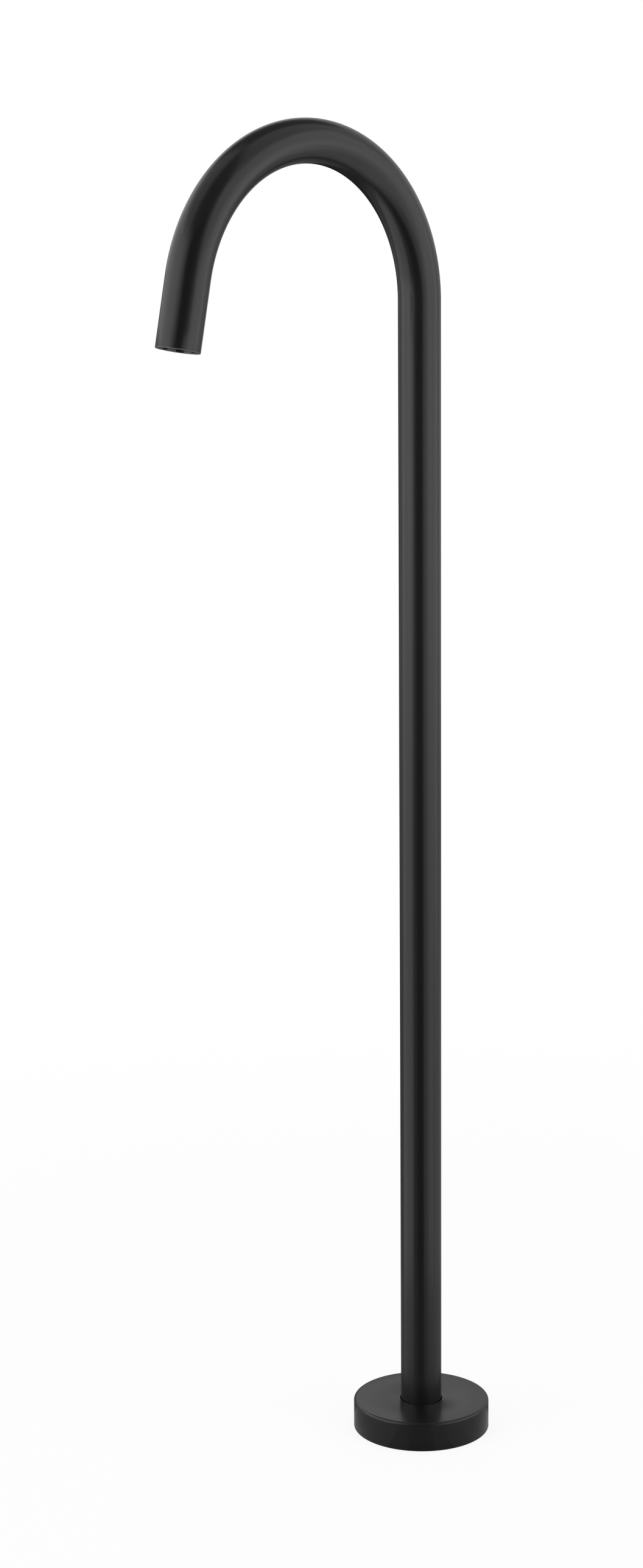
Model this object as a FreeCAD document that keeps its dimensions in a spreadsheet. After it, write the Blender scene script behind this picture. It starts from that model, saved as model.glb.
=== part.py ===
import FreeCAD, Part

import math
import os
import re

import Sketcher

# Floor standing bath filler: one bent tube that rises from the floor and hooks over the bath rim.
# Frame: +Z up, origin on the riser's axis at floor level, outlet towards -Y. Millimetres and degrees.
# The tube turns on a sealed spigot that a floor plate holds, a loose cover hides the plate, and a
# notched aerator screws into the outlet.

# Driving sizes, one cell of the size sheet each.
SIZES = {
    # spout tube
    "tube_diameter": 32.0,
    "tube_wall": 1.5,
    "bend_radius": 116.5,
    "bend_angle": 168.0,
    "bend_start_height": 886.5,
    "outlet_leg": 50.5,
    # floor plate and its gasket
    "plate_diameter": 92.0,
    "plate_thick": 10.0,
    "plate_edge_chamfer": 1.0,
    "gasket_thick": 1.5,
    "gasket_hole_gap": 0.5,
    "bolt_circle": 74.0,
    "bolt_hole": 6.6,
    "bolt_count": 4.0,
    "nut_recess_diameter": 52.0,
    "nut_recess_depth": 5.5,
    "shoulder_seat_depth": 1.5,
    "shoulder_seat_gap": 0.2,
    # inlet spigot
    "shank_diameter": 30.0,
    "shank_floor_gap": 0.5,
    "shoulder_diameter": 40.0,
    "shoulder_flats": 36.0,
    "shoulder_thick": 2.5,
    "inlet_bore": 18.6,
    "inlet_thread_length": 11.5,
    "washer_groove_width": 2.5,
    "washer_groove_depth": 1.2,
    "waterway": 14.0,
    "stem_length": 58.0,
    "stem_gap": 0.1,
    "stem_lead_in": 1.5,
    "seal_groove_depth": 2.0,
    "seal_groove_width": 3.4,
    "lower_seal_height": 21.5,
    "upper_seal_height": 29.5,
    "bearing_groove_depth": 1.5,
    "bearing_width": 5.0,
    "lower_bearing_height": 11.5,
    "upper_bearing_height": 48.0,
    "bearing_split": 8.0,
    # locknut, its washer and the inlet's washer
    "nut_flats": 38.0,
    "nut_thick": 3.8,
    "nut_corner_chamfer": 0.8,
    "nut_washer_diameter": 44.0,
    "nut_washer_thick": 1.0,
    "thread_gap": 0.1,
    "inlet_washer_thick": 2.0,
    "inlet_washer_hole": 12.0,
    "inlet_washer_gap": 0.2,
    # running gaps and seats
    "running_gap": 0.05,
    "braze_gap": 0.05,
    "thrust_washer_thick": 1.0,
    # foot bush and its grub screws
    "foot_bore": 25.0,
    "foot_length": 62.0,
    "foot_lead_in": 1.0,
    "screw_diameter": 4.0,
    "screw_height": 3.4,
    "screw_count": 3.0,
    "screw_sink": 0.2,
    "dog_diameter": 2.5,
    "dog_tip_gap": 0.4,
    "dog_side_gap": 0.4,
    "socket_flats": 2.0,
    "socket_depth": 1.8,
    # outlet nozzle
    "nozzle_length": 14.0,
    "nozzle_spigot": 8.0,
    "nozzle_bore": 23.0,
    "nozzle_edge": 0.4,
    "thread_diameter": 28.0,
    "thread_lead_in": 0.3,
    # aerator
    "aerator_gap": 0.15,
    "aerator_sink": 0.3,
    "thread_length": 6.7,
    "shell_neck_gap": 0.8,
    "shell_bore": 24.0,
    "lip_opening": 22.6,
    "lip_thick": 2.5,
    "notch_count": 6.0,
    "notch_width": 6.3,
    "notch_depth": 1.8,
    "notch_turn": 51.0,
    "insert_gap": 0.1,
    "washer_thick": 1.5,
    "jet_plate_thick": 1.6,
    "jet_slot_count": 12.0,
    "jet_slot_width": 0.9,
    "jet_slot_inner": 5.0,
    "jet_slot_outer": 9.5,
    "screen_thick": 0.6,
    "mesh_pitch": 2.4,
    "mesh_opening": 1.8,
    "straightener_thick": 6.0,
    "cell_pitch": 2.8,
    "cell_web": 0.4,
    # floor cover
    "cover_diameter": 107.0,
    "cover_height": 23.0,
    "cover_wall": 2.0,
    "cover_top_thick": 2.5,
    "cover_edge": 2.0,
    "cover_hole_gap": 0.6,
    "hub_diameter": 40.0,
    "hub_depth": 3.0,
    "cover_seal_thick": 2.0,
    "cover_seal_width": 2.6,
    "cover_seal_drop": 1.5,
    "small_edge": 0.3,
}

# Places and sizes that follow from the driving ones.
FOLLOWING = {
    # heights on the riser's axis, from the floor up
    "recess_top": "gasket_thick + nut_recess_depth",
    "plate_top": "gasket_thick + plate_thick",
    "nut_top": "recess_top - nut_washer_thick",
    "nut_bottom": "nut_top - nut_thick",
    "shoulder_seat": "plate_top - shoulder_seat_depth",
    "shoulder_top": "shoulder_seat + shoulder_thick",
    "tube_foot": "shoulder_top + thrust_washer_thick",
    "screw_axis": "tube_foot + screw_height",
    "stem_top": "shoulder_top + stem_length",
    "foot_top": "tube_foot + foot_length",
    "inlet_thread_top": "shank_floor_gap + inlet_thread_length",
    "inlet_bore_top": "inlet_thread_top + washer_groove_width",
    # radii about the riser's axis
    "washer_groove": "inlet_bore / 2 + washer_groove_depth",
    "tube_outer": "tube_diameter / 2",
    "tube_inner": "tube_outer - tube_wall",
    "foot_inner": "foot_bore / 2",
    "stem_outer": "foot_inner - stem_gap",
    "seal_floor": "stem_outer - seal_groove_depth",
    "bearing_floor": "stem_outer - bearing_groove_depth",
    "seal_outer": "foot_inner - running_gap",
    # grub screws, along their own axes from the riser's axis outwards
    "screw_outer_end": "tube_outer - screw_sink",
    "screw_shoulder": "foot_inner + running_gap",
    "screw_inner_end": "seal_floor + dog_tip_gap",
    "dog_groove_half": "dog_diameter / 2 + dog_side_gap",
    "dog_groove_bottom": "screw_axis - dog_groove_half",
    "dog_groove_top": "screw_axis + dog_groove_half",
    # along the outlet's axis, from the nozzle's inner end out
    "nozzle_total": "nozzle_spigot + nozzle_length",
    "shell_outer_end": "nozzle_total - aerator_sink",
    "lip_seat": "shell_outer_end - lip_thick",
    "screen_outer_end": "lip_seat - straightener_thick",
    "jet_outer_end": "screen_outer_end - screen_thick",
    "shell_inner_end": "jet_outer_end - jet_plate_thick",
    "nozzle_seat": "shell_inner_end - washer_thick",
    "thread_inner_end": "shell_outer_end - thread_length",
    "nozzle_spigot_outer": "tube_inner - braze_gap",
    "shell_thread_outer": "thread_diameter / 2 - aerator_gap",
    "shell_neck_outer": "thread_diameter / 2 - shell_neck_gap",
    "insert_outer": "shell_bore / 2 - insert_gap",
    # outlet's place
    "nozzle_start": "outlet_leg - nozzle_total",
    "leg_end_forward": "bend_radius * (1 - cos(bend_angle * 1 deg)) + nozzle_start * sin(bend_angle * 1 deg)",
    "leg_end_height": "bend_start_height + bend_radius * sin(bend_angle * 1 deg)"
                      " + nozzle_start * cos(bend_angle * 1 deg)",
    # cover
    "cover_outer": "cover_diameter / 2",
    "cover_inner": "cover_outer - cover_wall",
    "cover_hole": "tube_outer + cover_hole_gap",
    "cover_ceiling": "cover_height - cover_top_thick",
    "hub_bottom": "cover_ceiling - hub_depth",
    "hub_outer": "hub_diameter / 2",
    "cover_seal_inner": "tube_outer + running_gap",
    "cover_seal_outer": "cover_seal_inner + cover_seal_thick",
    "cover_seal_top": "cover_height - cover_seal_drop",
    "cover_seal_bottom": "cover_seal_top - cover_seal_width",
}

doc = FreeCAD.newDocument("bath_filler")
sheet = doc.addObject("Spreadsheet::Sheet", "Sizes")
for row, (alias, size) in enumerate(SIZES.items(), start=1):
    sheet.set("A%d" % row, alias)
    sheet.set("B%d" % row, str(size))
    sheet.setAlias("B%d" % row, alias)
doc.recompute()

sub_parts = []


def formula(text):
    """Write a size formula out, with each name in it as a cell of the size sheet."""

    def cell(match):
        name = match.group(0)
        if name in FOLLOWING:
            return "(%s)" % formula(FOLLOWING[name])
        return "Sizes.%s" % name if name in SIZES else name

    return re.sub("[a-z_]+", cell, text)


def number(text):
    """Work a size formula out."""
    result = sheet.evalExpression(formula(text))
    return float(getattr(result, "Value", result))


def bind(feature, prop, text):
    """Tie a feature's property to the size sheet."""
    feature.setExpression(prop, formula(text))


def keep(feature, label):
    """List a feature as a sub-part of the filler."""
    feature.Label = label
    sub_parts.append(feature)
    return feature


def new_body(name):
    return doc.addObject("PartDesign::Body", name)


def add_sketch(body, plane, name, offset=None):
    """Attach a new sketch to an origin plane of its body, lifted off it by a size formula."""
    sketch = body.newObject("Sketcher::SketchObject", name)
    support = [item for item in body.Origin.OriginFeatures if item.Role == plane]
    sketch.AttachmentSupport = (support[0], [""])
    sketch.MapMode = "FlatFace"
    if offset:
        bind(sketch, "AttachmentOffset.Base.z", offset)
    return sketch


def origin_axis(body, role):
    """The named axis of a body's origin, as a feature's reference."""
    axis = [item for item in body.Origin.OriginFeatures if item.Role == role]
    return axis[0], [""]


def tie_point(sketch, line, end, across, up):
    """Dimension a line's end from the sketch's axes; None leaves that direction free."""
    for kind, text, axis in (("DistanceX", across, -2), ("DistanceY", up, -1)):
        if text == "0":
            sketch.addConstraint(Sketcher.Constraint("PointOnObject", line, end, axis))
        elif text:
            size = number(text)
            index = sketch.addConstraint(Sketcher.Constraint(kind, -1, 1, line, end, size))
            bind(sketch, "Constraints[%d]" % index, text)


def draw_outline(sketch, corners):
    """Draw a closed outline through corners given as pairs of size formulas, fully dimensioned."""
    count = len(corners)
    points = [FreeCAD.Vector(number(across), number(up), 0) for across, up in corners]
    for i in range(count):
        sketch.addGeometry(Part.LineSegment(points[i], points[(i + 1) % count]), False)
    for i in range(count):
        sketch.addConstraint(Sketcher.Constraint("Coincident", i, 2, (i + 1) % count, 1))
    for i, (across, up) in enumerate(corners):
        before = corners[i - 1] if i else (None, None)
        closing = corners[0] if i == count - 1 else (None, None)
        for kind, place, side in (("Vertical", across, 0), ("Horizontal", up, 1)):
            if place == before[side]:
                sketch.addConstraint(Sketcher.Constraint(kind, i - 1))
            elif place == closing[side]:
                sketch.addConstraint(Sketcher.Constraint(kind, i))
            else:
                tie_point(sketch, i, 1, *((place, None) if side == 0 else (None, place)))


def turn(body, corners, angle=None):
    """Revolve an outline of radii and heights about the body's Z axis."""
    sketch = add_sketch(body, "XZ_Plane", body.Name + "_profile")
    draw_outline(sketch, corners)
    revolution = body.newObject("PartDesign::Revolution", body.Name + "_turning")
    revolution.Profile = sketch
    revolution.ReferenceAxis = (sketch, ["V_Axis"])
    revolution.Angle = 360
    if angle:
        bind(revolution, "Angle", angle)
    return revolution


def turned_body(name, corners, angle=None):
    body = new_body(name)
    turn(body, corners, angle)
    return body


def ring_corners(inner, outer, bottom, top):
    """The outline of a plain ring's section."""
    return [(inner, bottom), (outer, bottom), (outer, top), (inner, top)]


def dress_edges(body, kind, size, edges):
    """Fillet or chamfer a turned body's round edges, each found by its radius and its height."""
    doc.recompute()
    base = body.Tip
    wanted = [(number(radius), number(height)) for radius, height in edges]
    names = []
    for index, edge in enumerate(base.Shape.Edges, start=1):
        curve = edge.Curve
        if not isinstance(curve, Part.Circle) or abs(abs(curve.Axis.z) - 1) > 1e-6:
            continue
        if any(abs(curve.Radius - r) < 1e-4 and abs(curve.Center.z - z) < 1e-4 for r, z in wanted):
            names.append("Edge%d" % index)
    dress = body.newObject("PartDesign::" + kind, "%s_%s" % (body.Name, kind.lower()))
    dress.Base = (base, names)
    bind(dress, "Radius" if kind == "Fillet" else "Size", size)
    return dress


def cuts_into(pocket, volume_before):
    """Whether a pocket takes material off the body it is cut in."""
    return not pocket.Shape.isNull() and volume_before - pocket.Shape.Volume > 1e-3


def cut_pattern(body, sketch, length, count, label):
    """Pocket a sketch, turn the pocket if it points away from the body, and repeat it about Z."""
    doc.recompute()
    before = body.Tip.Shape.Volume
    pocket = body.newObject("PartDesign::Pocket", label)
    pocket.Profile = sketch
    bind(pocket, "Length", length)
    doc.recompute()
    if not cuts_into(pocket, before):
        pocket.Reversed = True
        doc.recompute()
    if not cuts_into(pocket, before):
        raise ValueError("%s cuts nothing" % label)
    pattern = body.newObject("PartDesign::PolarPattern", label + "_pattern")
    pattern.Originals = [pocket]
    pattern.Axis = origin_axis(body, "Z_Axis")
    pattern.Angle = 360
    bind(pattern, "Occurrences", count)
    body.Tip = pattern
    doc.recompute()
    return pattern


def draw_circle(sketch, across, up, diameter):
    """A circle dimensioned from the sketch's axes."""
    centre = FreeCAD.Vector(number(across), number(up), 0)
    circle = Part.Circle(centre, FreeCAD.Vector(0, 0, 1), number(diameter) / 2)
    index = sketch.addGeometry(circle, False)
    tie_point(sketch, index, 3, across, up)
    width = sketch.addConstraint(Sketcher.Constraint("Diameter", index, number(diameter)))
    bind(sketch, "Constraints[%d]" % width, diameter)
    return index


def draw_bar(sketch, inner, outer, width):
    """A rectangle from an inner to an outer distance across, centred on the sketch's X axis."""
    near, far, half = number(inner), number(outer), number(width) / 2
    corners = [(near, -half), (far, -half), (far, half), (near, half)]
    points = [FreeCAD.Vector(across, up, 0) for across, up in corners]
    for i in range(4):
        sketch.addGeometry(Part.LineSegment(points[i], points[(i + 1) % 4]), False)
    for i in range(4):
        sketch.addConstraint(Sketcher.Constraint("Coincident", i, 2, (i + 1) % 4, 1))
    for kind, line in (("Horizontal", 0), ("Horizontal", 2), ("Vertical", 3)):
        sketch.addConstraint(Sketcher.Constraint(kind, line))
    sketch.addConstraint(Sketcher.Constraint("Symmetric", 1, 1, 1, 2, -1))
    tie_point(sketch, 0, 1, inner, None)
    tie_point(sketch, 0, 2, outer, None)
    index = sketch.addConstraint(Sketcher.Constraint("DistanceY", 1, 1, 1, 2, 2 * half))
    bind(sketch, "Constraints[%d]" % index, width)


def place_at_outlet(feature):
    """Put a sub-part that is drawn from the nozzle's inner end outwards on the outlet's axis."""
    turned = FreeCAD.Rotation(FreeCAD.Vector(1, 0, 0), number("bend_angle"))
    feature.Placement = FreeCAD.Placement(FreeCAD.Vector(0, 0, 0), turned)
    bind(feature, "Placement.Rotation.Angle", "bend_angle * 1 deg")
    bind(feature, "Placement.Base.y", "0 - leg_end_forward")
    bind(feature, "Placement.Base.z", "leg_end_height")
    return feature


def primitive(kind, name, **sizes):
    """A Part primitive with its properties tied to the size sheet."""
    shape = doc.addObject("Part::" + kind, name)
    for prop, text in sizes.items():
        bind(shape, prop.replace("__", "."), text)
    return shape


def cut(name, base, tool):
    result = doc.addObject("Part::Cut", name)
    result.Base = base
    result.Tool = tool
    return result


# ---- floor mount ----

def make_floor_gasket():
    """Rubber gasket between the floor plate and the floor."""
    body = turned_body("floor_gasket", ring_corners(
        "nut_recess_diameter / 2", "plate_diameter / 2", "0", "gasket_thick"))
    holes = add_sketch(body, "XY_Plane", "gasket_holes")
    draw_circle(holes, "bolt_circle / 2", "0", "bolt_hole + 2 * gasket_hole_gap")
    cut_pattern(body, holes, "gasket_thick", "bolt_count", "gasket_hole")
    return keep(body, "floor_gasket")


def make_floor_plate():
    """Brass disc that the floor screws hold, recessed below for the locknut and above for the spigot."""
    seat = "shoulder_diameter / 2 + shoulder_seat_gap"
    shank_hole = "shank_diameter / 2 + thread_gap"
    body = turned_body("floor_plate", [
        ("nut_recess_diameter / 2", "gasket_thick"),
        ("plate_diameter / 2", "gasket_thick"),
        ("plate_diameter / 2", "plate_top"),
        (seat, "plate_top"),
        (seat, "shoulder_seat"),
        (shank_hole, "shoulder_seat"),
        (shank_hole, "recess_top"),
        ("nut_recess_diameter / 2", "recess_top"),
    ])
    holes = add_sketch(body, "XY_Plane", "plate_holes", "gasket_thick")
    draw_circle(holes, "bolt_circle / 2", "0", "bolt_hole")
    cut_pattern(body, holes, "plate_thick", "bolt_count", "plate_hole")
    dress_edges(body, "Chamfer", "plate_edge_chamfer", [("plate_diameter / 2", "plate_top")])
    return keep(body, "floor_plate")


def groove_corners(centre, width, floor):
    """The four corners of a groove in the spigot's stem, from its lower edge up."""
    bottom = "%s - %s / 2" % (centre, width)
    top = "%s + %s / 2" % (centre, width)
    return [("stem_outer", bottom), (floor, bottom), (floor, top), ("stem_outer", top)]


def make_inlet_spigot():
    """Brass spigot: threaded shank below, shoulder, and a grooved stem that the spout turns on."""
    grooves = [("stem_outer", "dog_groove_bottom"), ("seal_floor", "dog_groove_bottom"),
               ("seal_floor", "dog_groove_top"), ("stem_outer", "dog_groove_top")]
    grooves += groove_corners("shoulder_top + lower_bearing_height", "bearing_width", "bearing_floor")
    grooves += groove_corners("shoulder_top + lower_seal_height", "seal_groove_width", "seal_floor")
    grooves += groove_corners("shoulder_top + upper_seal_height", "seal_groove_width", "seal_floor")
    grooves += groove_corners("shoulder_top + upper_bearing_height", "bearing_width", "bearing_floor")
    body = turned_body("inlet_spigot", [
        ("inlet_bore / 2", "shank_floor_gap"),
        ("shank_diameter / 2", "shank_floor_gap"),
        ("shank_diameter / 2", "shoulder_seat"),
        ("shoulder_diameter / 2", "shoulder_seat"),
        ("shoulder_diameter / 2", "shoulder_top"),
        ("stem_outer", "shoulder_top"),
        *grooves,
        ("stem_outer", "stem_top"),
        ("waterway / 2", "stem_top"),
        ("waterway / 2", "inlet_bore_top"),
        ("washer_groove", "inlet_bore_top"),
        ("washer_groove", "inlet_thread_top"),
        ("inlet_bore / 2", "inlet_thread_top"),
    ])
    flats = add_sketch(body, "XY_Plane", "spigot_flats", "shoulder_seat")
    draw_bar(flats, "shoulder_flats / 2", "shoulder_diameter", "shoulder_diameter")
    cut_pattern(body, flats, "shoulder_thick", "2", "spigot_flat")
    dress_edges(body, "Chamfer", "stem_lead_in", [("stem_outer", "stem_top")])
    return keep(body, "inlet_spigot")


def make_spigot_locknut():
    """Thin hexagonal nut on the shank, with its corners turned off below."""
    hexagon = primitive("Prism", "nut_hexagon", Circumradius="nut_flats / 2 / cos(30 deg)",
                        Height="nut_thick", Placement__Base__z="nut_bottom")
    hexagon.Polygon = 6
    corner = "nut_flats / 2 / cos(30 deg)"
    turned = turned_body("nut_turning", [
        ("shank_diameter / 2 + thread_gap", "nut_bottom"),
        ("nut_flats / 2", "nut_bottom"),
        (corner, "nut_bottom + nut_corner_chamfer"),
        (corner, "nut_top"),
        ("shank_diameter / 2 + thread_gap", "nut_top"),
    ])
    nut = doc.addObject("Part::Common", "spigot_locknut")
    nut.Base = hexagon
    nut.Tool = turned
    return keep(nut, "spigot_locknut")


def make_locknut_washer():
    body = turned_body("locknut_washer", ring_corners(
        "shank_diameter / 2 + thread_gap", "nut_washer_diameter / 2", "nut_top", "recess_top"))
    return keep(body, "locknut_washer")


def make_inlet_washer():
    """Rubber washer for the supply hose, held in the relief groove at the end of the thread."""
    body = turned_body("inlet_washer", ring_corners(
        "inlet_washer_hole / 2", "washer_groove - inlet_washer_gap",
        "inlet_bore_top - inlet_washer_thick", "inlet_bore_top"))
    return keep(body, "inlet_washer")


def make_thrust_washer():
    """Plastic washer that the tube's foot turns on."""
    body = turned_body("thrust_washer", ring_corners(
        "stem_outer + stem_gap", "tube_outer", "shoulder_top", "tube_foot"))
    return keep(body, "thrust_washer")


def make_bearing_ring(name, height):
    """Plastic slide ring, split so that it springs into its groove."""
    centre = "shoulder_top + %s" % height
    half = "(bearing_width - running_gap) / 2"
    body = turned_body(name, ring_corners(
        "bearing_floor + running_gap", "seal_outer",
        "%s - %s" % (centre, half), "%s + %s" % (centre, half)), "360 - bearing_split")
    return keep(body, name)


def make_seal_ring(name, inner, outer, bottom, top):
    """Rubber O-ring as its groove squeezes it: flat on the walls, its rounding an octagon."""
    body = turned_body(name, ring_corners(inner, outer, bottom, top))
    edges = [(radius, height) for radius in (inner, outer) for height in (bottom, top)]
    dress_edges(body, "Chamfer", "(%s - (%s)) * 0.3" % (outer, inner), edges)
    return keep(body, name)


def make_spigot_seal(name, height):
    centre = "shoulder_top + %s" % height
    half = "(seal_groove_width - 2 * small_edge) / 2"
    return make_seal_ring(name, "seal_floor", "seal_outer",
                          "%s - %s" % (centre, half), "%s + %s" % (centre, half))


# ---- spout ----

def draw_spout_path(sketch):
    """The tube's centre line: a straight riser, the bend and a straight outlet leg, each tangent."""
    radius, angle = number("bend_radius"), math.radians(number("bend_angle"))
    foot, start = number("tube_foot"), number("bend_start_height")
    leg = number("nozzle_start + nozzle_spigot")
    centre = FreeCAD.Vector(-radius, start, 0)
    bend_end = centre + FreeCAD.Vector(radius * math.cos(angle), radius * math.sin(angle), 0)
    leg_end = bend_end + FreeCAD.Vector(-leg * math.sin(angle), leg * math.cos(angle), 0)
    riser = sketch.addGeometry(
        Part.LineSegment(FreeCAD.Vector(0, foot, 0), FreeCAD.Vector(0, start, 0)), False)
    circle = Part.Circle(centre, FreeCAD.Vector(0, 0, 1), radius)
    bend = sketch.addGeometry(Part.ArcOfCircle(circle, 0, angle), False)
    outlet = sketch.addGeometry(Part.LineSegment(bend_end, leg_end), False)
    sketch.addConstraint(Sketcher.Constraint("PointOnObject", riser, 1, -2))
    sketch.addConstraint(Sketcher.Constraint("Vertical", riser))
    sketch.addConstraint(Sketcher.Constraint("Tangent", riser, 2, bend, 1))
    sketch.addConstraint(Sketcher.Constraint("Tangent", bend, 2, outlet, 1))
    tie_point(sketch, riser, 1, None, "tube_foot")
    tie_point(sketch, riser, 2, None, "bend_start_height")
    dimensions = (
        (Sketcher.Constraint("Radius", bend, radius), "bend_radius"),
        (Sketcher.Constraint("Angle", bend, angle), "bend_angle * 1 deg"),
        (Sketcher.Constraint("Distance", outlet, leg), "nozzle_start + nozzle_spigot"),
    )
    for constraint, text in dimensions:
        index = sketch.addConstraint(constraint)
        bind(sketch, "Constraints[%d]" % index, text)


def make_spout_tube():
    """The riser, gooseneck and outlet leg as one bent tube, tapped at its foot for grub screws."""
    body = new_body("spout_tube")
    path = add_sketch(body, "YZ_Plane", "tube_path")
    draw_spout_path(path)
    section = add_sketch(body, "XY_Plane", "tube_section", "tube_foot")
    draw_circle(section, "0", "0", "tube_diameter")
    draw_circle(section, "0", "0", "tube_inner * 2")
    doc.recompute()
    pipe = body.newObject("PartDesign::AdditivePipe", "tube_sweep")
    pipe.Profile = section
    pipe.Spine = (path, ["Edge1", "Edge2", "Edge3"])
    tap_screw_holes(body, "tube_hole")
    return keep(body, "spout_tube")


def tap_screw_holes(body, label):
    """Drill the radial grub screw holes at the tube's foot, the first at the back."""
    sketch = add_sketch(body, "XZ_Plane", label + "_sketch")
    draw_circle(sketch, "0", "screw_axis", "screw_diameter")
    cut_pattern(body, sketch, "tube_diameter", "screw_count", label)


def make_foot_bush():
    """Brass bush brazed into the tube's foot: it is bored for the spigot and tapped for the screws."""
    body = turned_body("foot_bush", ring_corners(
        "foot_inner", "tube_inner - braze_gap", "tube_foot", "foot_top"))
    tap_screw_holes(body, "bush_hole")
    dress_edges(body, "Chamfer", "foot_lead_in", [("foot_inner", "foot_top")])
    return keep(body, "foot_bush")


def make_grub_screw(index):
    """Dog-point grub screw with a hexagon socket, turned about its own axis and then laid radially."""
    name = "grub_screw_%d" % index
    outer = "screw_diameter / 2 - thread_gap / 2"
    body = turned_body(name, [
        ("0", "screw_inner_end"),
        ("dog_diameter / 2", "screw_inner_end"),
        ("dog_diameter / 2", "screw_shoulder"),
        (outer, "screw_shoulder"),
        (outer, "screw_outer_end"),
        ("0", "screw_outer_end"),
    ])
    socket = add_sketch(body, "XY_Plane", name + "_socket", "screw_outer_end")
    corner = "socket_flats / 2 / cos(30 deg)"
    points = [FreeCAD.Vector(number(corner) * math.cos(math.radians(60 * i)),
                             number(corner) * math.sin(math.radians(60 * i)), 0) for i in range(6)]
    for i in range(6):
        socket.addGeometry(Part.LineSegment(points[i], points[(i + 1) % 6]), False)
    ring = Part.Circle(FreeCAD.Vector(0, 0, 0), FreeCAD.Vector(0, 0, 1), number(corner))
    guide = socket.addGeometry(ring, True)
    for i in range(6):
        socket.addConstraint(Sketcher.Constraint("Coincident", i, 2, (i + 1) % 6, 1))
        socket.addConstraint(Sketcher.Constraint("PointOnObject", i, 1, guide))
    for i in range(1, 6):
        socket.addConstraint(Sketcher.Constraint("Equal", 0, i))
    socket.addConstraint(Sketcher.Constraint("Coincident", guide, 3, -1, 1))
    socket.addConstraint(Sketcher.Constraint("PointOnObject", 0, 1, -1))
    size = socket.addConstraint(Sketcher.Constraint("Radius", guide, number(corner)))
    bind(socket, "Constraints[%d]" % size, corner)
    doc.recompute()
    pocket = body.newObject("PartDesign::Pocket", name + "_socket_cut")
    pocket.Profile = socket
    bind(pocket, "Length", "socket_depth")
    body.Placement = FreeCAD.Placement(
        FreeCAD.Vector(0, 0, 0),
        FreeCAD.Rotation(FreeCAD.Vector(0, 0, 1), 360.0 * index / number("screw_count"))
        * FreeCAD.Rotation(FreeCAD.Vector(1, 0, 0), -90))
    bind(body, "Placement.Base.z", "screw_axis")
    return body


def make_grub_screws():
    screws = doc.addObject("Part::Compound", "grub_screws")
    screws.Links = [make_grub_screw(index) for index in range(round(number("screw_count")))]
    return keep(screws, "grub_screws")


def make_outlet_nozzle():
    """Turned brass end of the spout: spigot in the tube, washer seat and the aerator's thread."""
    thread = "thread_diameter / 2"
    body = turned_body("outlet_nozzle", [
        ("nozzle_bore / 2", "0"),
        ("nozzle_spigot_outer", "0"),
        ("nozzle_spigot_outer", "nozzle_spigot"),
        ("tube_outer", "nozzle_spigot"),
        ("tube_outer", "nozzle_total"),
        (thread, "nozzle_total"),
        (thread, "nozzle_seat"),
        ("nozzle_bore / 2", "nozzle_seat"),
    ])
    dress_edges(body, "Chamfer", "nozzle_edge", [("tube_outer", "nozzle_total")])
    dress_edges(body, "Chamfer", "thread_lead_in", [(thread, "nozzle_total")])
    place_at_outlet(body)
    return keep(body, "outlet_nozzle")


# ---- aerator ----

def make_aerator_washer():
    body = turned_body("aerator_washer", ring_corners(
        "nozzle_bore / 2", "shell_neck_outer", "nozzle_seat", "shell_inner_end"))
    place_at_outlet(body)
    return keep(body, "aerator_washer")


def make_aerator_shell():
    """Threaded shell with a castellated rim: a ring key in its notches screws it out."""
    body = turned_body("aerator_shell", [
        ("shell_bore / 2", "shell_inner_end"),
        ("shell_neck_outer", "shell_inner_end"),
        ("shell_neck_outer", "thread_inner_end"),
        ("shell_thread_outer", "thread_inner_end"),
        ("shell_thread_outer", "shell_outer_end"),
        ("lip_opening / 2", "shell_outer_end"),
        ("lip_opening / 2", "lip_seat"),
        ("shell_bore / 2", "lip_seat"),
    ])
    notch = add_sketch(body, "XY_Plane", "notch_sketch", "shell_outer_end")
    notch.AttachmentOffset = FreeCAD.Placement(
        FreeCAD.Vector(0, 0, 0), FreeCAD.Rotation(FreeCAD.Vector(0, 0, 1), number("notch_turn")))
    bind(notch, "AttachmentOffset.Base.z", "shell_outer_end")
    bind(notch, "AttachmentOffset.Rotation.Angle", "notch_turn * 1 deg")
    draw_bar(notch, "lip_opening / 2 - 1", "thread_diameter", "notch_width")
    cut_pattern(body, notch, "notch_depth", "notch_count", "notch")
    place_at_outlet(body)
    return keep(body, "aerator_shell")


def make_jet_plate():
    """Disc with a ring of radial slots that break the flow into jets."""
    body = turned_body("jet_plate", [
        ("0", "shell_inner_end"), ("insert_outer", "shell_inner_end"),
        ("insert_outer", "jet_outer_end"), ("0", "jet_outer_end")])
    slot = add_sketch(body, "XY_Plane", "slot_sketch", "jet_outer_end")
    draw_bar(slot, "jet_slot_inner", "jet_slot_outer", "jet_slot_width")
    cut_pattern(body, slot, "jet_plate_thick", "jet_slot_count", "jet_slot")
    place_at_outlet(body)
    return keep(body, "jet_plate")


def perforated_disc(name, bottom, thick, centres, hole):
    """A disc that fills the shell's bore, with a hole at each of its centres."""
    disc = primitive("Cylinder", name + "_disc", Radius="insert_outer", Height=thick,
                     Placement__Base__z=bottom)
    holes = doc.addObject("Part::Compound", name + "_holes")
    holes.Links = [hole(index, across, up) for index, (across, up) in enumerate(centres)]
    return keep(place_at_outlet(cut(name, disc, holes)), name)


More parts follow.
